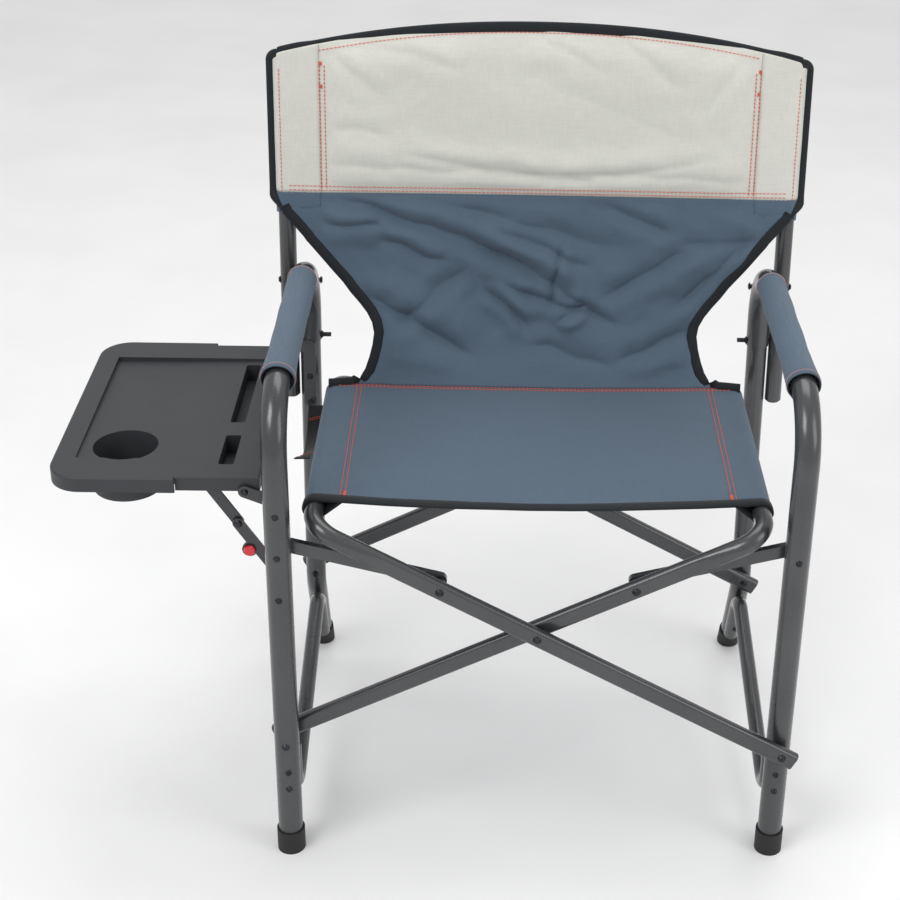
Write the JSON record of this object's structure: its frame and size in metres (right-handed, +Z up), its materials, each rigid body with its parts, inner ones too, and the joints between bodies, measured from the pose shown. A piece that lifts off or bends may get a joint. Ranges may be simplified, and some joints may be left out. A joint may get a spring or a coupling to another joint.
{
  "type": "director chair",
  "caption": "Folding director chair with crossed seat frames, side frames with armrests, a fabric seat and back, and a fold-down side table on its left.",
  "frame": {"origin": "on the floor, midway between the two front legs", "axes": "+X towards the right side frame (the table is at -X), +Y towards the back, +Z up"},
  "size_m": [0.9019, 0.5005, 0.9345],
  "materials": {
    "gunmetal_tube": "gloss",
    "zinc_steel": "satin",
    "bracket_steel": "satin",
    "black_rubber": "matte",
    "black_plastic": "matte",
    "grained_plastic": "fine grain",
    "red_plastic": "gloss",
    "slate_weave": "coarse weave",
    "arm_weave": "coarse weave",
    "black_webbing": "webbing"
  },
  "bodies": {
    "left_frame": {"left_side_tube": "gunmetal_tube", "left_rear_leg": "gunmetal_tube", "left_back_post": "gunmetal_tube", "left_back_post_plugs": "black_plastic", "left_back_post_bolts": "zinc_steel", "left_foot_rail": "gunmetal_tube", "left_foot_rail_screws": "zinc_steel", "left_foot_caps": "black_rubber", "left_arm_cover": "arm_weave", "left_lower_pivot_bolts": "zinc_steel", "left_link_bolt": "zinc_steel", "table_front_bracket": "bracket_steel", "table_rear_bracket": "bracket_steel", "table_bracket_rivets": "zinc_steel", "table_hinge_bolts": "zinc_steel", "table_brace_leg_bolt": "zinc_steel", "table_strap": "black_webbing", "back_fabric": "slate_weave"},
    "right_seat_frame": {"right_seat_frame": "gunmetal_tube", "right_seat_frame_end_plugs": "black_plastic", "right_link_stud": "zinc_steel", "cross_bolts": "zinc_steel", "seat_fabric": "slate_weave"},
    "left_seat_frame": {"left_seat_frame": "gunmetal_tube", "left_seat_frame_end_plugs": "black_plastic", "left_link_stud": "zinc_steel"},
    "right_frame": {"right_side_tube": "gunmetal_tube", "right_rear_leg": "gunmetal_tube", "right_back_post": "gunmetal_tube", "right_back_post_plugs": "black_plastic", "right_back_post_bolts": "zinc_steel", "right_foot_rail": "gunmetal_tube", "right_foot_rail_screws": "zinc_steel", "right_foot_caps": "black_rubber", "right_arm_cover": "arm_weave", "right_lower_pivot_bolts": "zinc_steel", "right_link_bolt": "zinc_steel"},
    "left_link": {"left_link": "gunmetal_tube"},
    "right_link": {"right_link": "gunmetal_tube"},
    "table": {"table_tray": "grained_plastic", "table_brace_top_bolt": "zinc_steel"},
    "brace_upper": {"table_brace_upper": "bracket_steel"},
    "brace_lower": {"table_brace_lower": "bracket_steel", "table_brace_elbow_rivet": "zinc_steel"},
    "brace_button": {"table_brace_button": "red_plastic"}
  },
  "joints": [
    {"name": "fold", "type": "hinge", "parent": "left_frame", "child": "right_seat_frame", "pos_m": [-0.3, 0, 0.1645], "axis": [0, -1, 0], "range_deg": [0, 40], "deforming": ["seat_fabric", "back_fabric", "table_strap"]},
    {"name": "cross", "type": "hinge", "parent": "right_seat_frame", "child": "left_seat_frame", "pos_m": [0, 0, 0.32401], "axis": [0, 1, 0], "range_deg": [0, 80]},
    {"name": "right_pivot", "type": "hinge", "parent": "left_seat_frame", "child": "right_frame", "pos_m": [0.3, 0, 0.1645], "axis": [0, -1, 0], "range_deg": [0, 40]},
    {"name": "left_link_turn", "type": "hinge", "parent": "left_frame", "child": "left_link", "pos_m": [-0.3, 0, 0.433], "axis": [0, -1, 0], "range_deg": [0, 79.34]},
    {"name": "right_link_turn", "type": "hinge", "parent": "right_frame", "child": "right_link", "pos_m": [0.3, 0, 0.433], "axis": [0, 1, 0], "range_deg": [0, 79.34]},
    {"name": "table_fold", "type": "hinge", "parent": "left_frame", "child": "table", "pos_m": [-0.337, 0, 0.503], "axis": [0, -1, 0], "range_deg": [0, 84]},
    {"name": "brace_lower_turn", "type": "hinge", "parent": "left_frame", "child": "brace_lower", "pos_m": [-0.3, 0, 0.376], "axis": [0, 1, 0], "range_deg": [0, 45.06]},
    {"name": "brace_upper_turn", "type": "hinge", "parent": "table", "child": "brace_upper", "pos_m": [-0.37843, 0, 0.49677], "axis": [0, 1, 0], "range_deg": [0, 23.96]},
    {"name": "button_press", "type": "slide", "parent": "brace_lower", "child": "brace_button", "axis": [0, 1, 0], "range_m": [0, 0.002], "stiffness_N_per_m": 400}
  ],
  "couplings": [
    {"joint": "cross", "follows": "fold", "ratio": 2},
    {"joint": "right_pivot", "follows": "fold", "ratio": 1},
    {"joint": "left_link_turn", "follows": "fold", "ratio": 1.9831},
    {"joint": "right_link_turn", "follows": "fold", "ratio": 1.9831},
    {"joint": "brace_lower_turn", "follows": "table_fold", "ratio": 0.53632},
    {"joint": "brace_upper_turn", "follows": "table_fold", "ratio": 0.28517}
  ]
}
